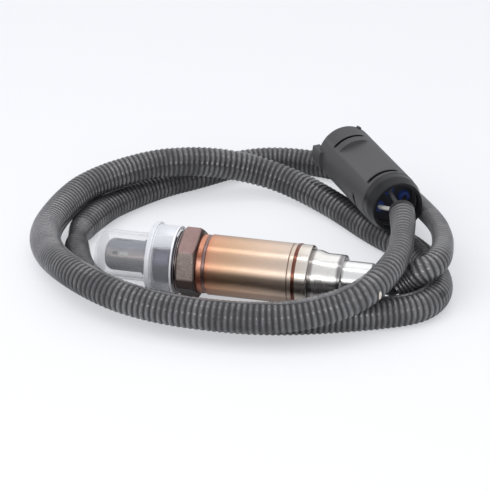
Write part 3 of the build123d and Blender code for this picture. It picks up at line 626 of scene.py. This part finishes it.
def between(table, distance):
    """The table's row at a distance, eased between the rows on each side."""
    for low, high in zip(table, table[1:]):
        if distance <= high[0]:
            share = max(0.0, (distance - low[0]) / (high[0] - low[0]))
            share = share * share * (3 - 2 * share)
            return [a + (b - a) * share for a, b in zip(low[1:], high[1:])]
    return list(table[-1][1:])


def new_piece(name, shape, material):
    """Make a shown object of a bmesh, on the one body, with smooth faces."""
    for face in shape.faces:
        face.smooth = True
    mesh = bpy.data.meshes.new(name)
    shape.to_mesh(mesh)
    shape.free()
    mesh.materials.append(material)
    piece = bpy.data.objects.new(name, mesh)
    bpy.context.collection.objects.link(piece)
    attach(piece, "root")
    return piece


def spun(profile, sides):
    """A shape turned about the X axis from a line of (x, radius) points in metres."""
    shape = bmesh.new()
    line = [shape.verts.new((x, 0, radius)) for x, radius in profile]
    edges = [shape.edges.new(pair) for pair in zip(line, line[1:])]
    bmesh.ops.spin(shape, geom=line + edges, axis=(1, 0, 0), cent=(0, 0, 0), angle=2 * pi,
                   steps=sides, use_merge=True)
    bmesh.ops.remove_doubles(shape, verts=shape.verts, dist=1e-7)
    bmesh.ops.recalc_face_normals(shape, faces=shape.faces)
    return shape


def laid_along(shape, route):
    """Bend a shape that lies along X onto a route."""
    for vert in shape.verts:
        x, y, z = vert.co
        point, heading = route.at(x)
        left = Vector((0, 0, 1)).cross(heading).normalized()
        over = heading.cross(left)
        vert.co = point + left * y + over * z


def conduit_profile(length):
    """Closed line of the conduit: bottom of its open mouth, lip, ribs, closed far end."""
    mouth_r = stretches[0][1] / 2
    inner_r = mouth_r - conduit_wall
    profile = [(mouth_depth, 0.0), (mouth_depth, inner_r), (0.3, inner_r),
               (0.0, inner_r + 0.2), (0.0, mouth_r - 0.15), (0.2, mouth_r)]
    x = 0.2
    while x < length - plain_end:
        diameter, pitch, _, _ = between(stretches, x)
        for share, drop in rib_shape:
            profile.append((x + share * pitch, diameter / 2 - drop * rib_depth * pitch))
        x += pitch
    end_r = between(stretches, length)[0] / 2
    return profile + [(length, end_r), (length, 0.0)]


def make_conduit():
    """Ribbed conduit, slit along its length, on its route from its mouth to the plug."""
    route = Route(conduit_route)
    length = route.length / mm
    shape = spun([(x * mm, r * mm) for x, r in conduit_profile(length)], conduit_sides)
    plain = conduit_sides - len(lip_turns)
    spare = 360 - (lip_turns[-1] - lip_turns[0])
    turns = lip_turns + [lip_turns[-1] + spare * (i + 1) / (plain + 1) for i in range(plain)]
    crest = shape.verts.layers.float.new("crest")
    strained = shape.verts.layers.float.new("strained")
    straight = shape.verts.layers.float_vector.new("straight")
    for vert in shape.verts:
        x, y, z = [c / mm for c in vert.co]
        radius = (y * y + z * z) ** 0.5
        diameter, pitch, slit, sheen_share = between(stretches, x)
        side = round(atan2(y, z) / (2 * pi) * conduit_sides) % conduit_sides
        # Crest is 1 on the ribs' crests and 0 in the grooves; the material paints shade by it.
        vert[crest] = 1 - min(1, max(0, (diameter / 2 - radius) / (rib_depth * pitch)))
        vert[strained] = sheen_share
        outside = radius > diameter / 2 - rib_depth * pitch - 0.05
        if outside and 1 < x < length - 1:
            if side in lip_sides:
                radius = diameter / 2 - (diameter / 2 - radius) * lip_ribs
                vert[crest] = lip_shine + (1 - lip_shine) * vert[crest]
            elif side == gap_side:
                radius = diameter / 2 - rib_depth * pitch * gap_depth
                vert[crest] = 0.0
        turn = radians(slit + turns[side])
        vert.co = (x * mm, radius * sin(turn) * mm, radius * cos(turn) * mm)
        vert[straight] = vert.co
    laid_along(shape, route)
    piece = new_piece("ribbed_conduit", shape, ribbed_polyamide())
    return piece, route.points


def make_sheath():
    """Smooth black sheath, from the grommet down into the conduit's mouth."""
    route = Route(sheath_route)
    radius = sheath_d / 2 * mm
    side = [(route.length * i / sheath_rings, radius) for i in range(sheath_rings + 1)]
    shape = spun([(0.0, 0.0)] + side + [(route.length, 0.0)], sheath_sides)
    laid_along(shape, route)
    rubber = soft_black("sheath_rubber", (0.008, 0.008, 0.009), 0.5)
    return new_piece("black_sheath", shape, rubber)


conduit, conduit_path = make_conduit()
sheath = make_sheath()
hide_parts("conduit")
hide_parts("lead_sheath")

# ---------------------------------------------------------------- floor and light

floor_reach = 3.0
floor_glow = 0.52               # share of the floor that shows its own pale colour
glow_in_metal = 0.25            # how much of that metal reflects


def from_rays(shade):
    """Three masks: 1 for rays from the camera, from glossy surfaces and through glass."""
    return [shade.node("LightPath", output=output) for output in (0, 3, 6)]


def pale_floor():
    """White floor that keeps soft shadows."""
    material, shade = new_material("pale_floor")
    camera, glossy, glass = from_rays(shade)
    seen = (camera + glass + glow_in_metal * glossy) * floor_glow
    white = shade.node("BsdfDiffuse", {0: rgb(0.86, 0.87, 0.89)})
    glow = shade.node("Emission", {0: rgb(0.90, 0.91, 0.945), 1: 1.0})
    mixed = shade.node("MixShader", {0: seen, 1: white, 2: glow})
    shade.node("OutputMaterial", {0: mixed})
    return material


def add_floor():
    """Floor under the lowest point of the object."""
    shape = bmesh.new()
    bmesh.ops.create_grid(shape, x_segments=1, y_segments=1, size=floor_reach)
    bmesh.ops.translate(shape, vec=(0, 0, floor_z), verts=shape.verts)
    mesh = bpy.data.meshes.new("floor")
    shape.to_mesh(mesh)
    shape.free()
    mesh.materials.append(pale_floor())
    floor = bpy.data.objects.new("floor", mesh)
    bpy.context.collection.objects.link(floor)


def add_softbox(name, place, size, power, mirrored=True):
    """Soft rectangular lamp that faces the object and may stay out of its reflections."""
    lamp = bpy.data.lights.new(name, "AREA")
    lamp.shape = "RECTANGLE"
    lamp.size, lamp.size_y = size
    lamp.energy = power
    softbox = bpy.data.objects.new(name, lamp)
    bpy.context.collection.objects.link(softbox)
    softbox.location = place
    softbox.visible_glossy = mirrored
    softbox.rotation_euler = (-Vector(place)).to_track_quat("-Z", "Y").to_euler()


def add_world():
    """Even pale surroundings, seen white by the camera and in metal and glass."""
    world = bpy.data.worlds.new("studio")
    bpy.context.scene.world = world
    world.use_nodes = True
    world.node_tree.nodes.clear()
    shade = Shade(world.node_tree)
    camera, glossy, glass = from_rays(shade)
    shown = (camera + glossy + glass).clamped()
    colour = shown.mix(rgb(0.39, 0.40, 0.42), rgb(0.92, 0.93, 0.96))
    background = shade.node("Background", {0: colour, 1: 1.0})
    shade.node("OutputWorld", {0: background})


add_floor()
add_world()
add_softbox("key_softbox", (-0.25, -0.85, 0.98), (2.0, 1.3), 19.4, mirrored=False)
add_softbox("back_softbox", (0.10, 0.75, 0.95), (1.8, 1.0), 2.6)
add_softbox("overhead_strip", (0.00, -0.05, 1.25), (1.4, 0.10), 2.6)
add_softbox("front_strip", (0.20, -1.10, 0.38), (1.1, 0.15), 3.0)
bpy.context.scene.view_settings.view_transform = "Standard"
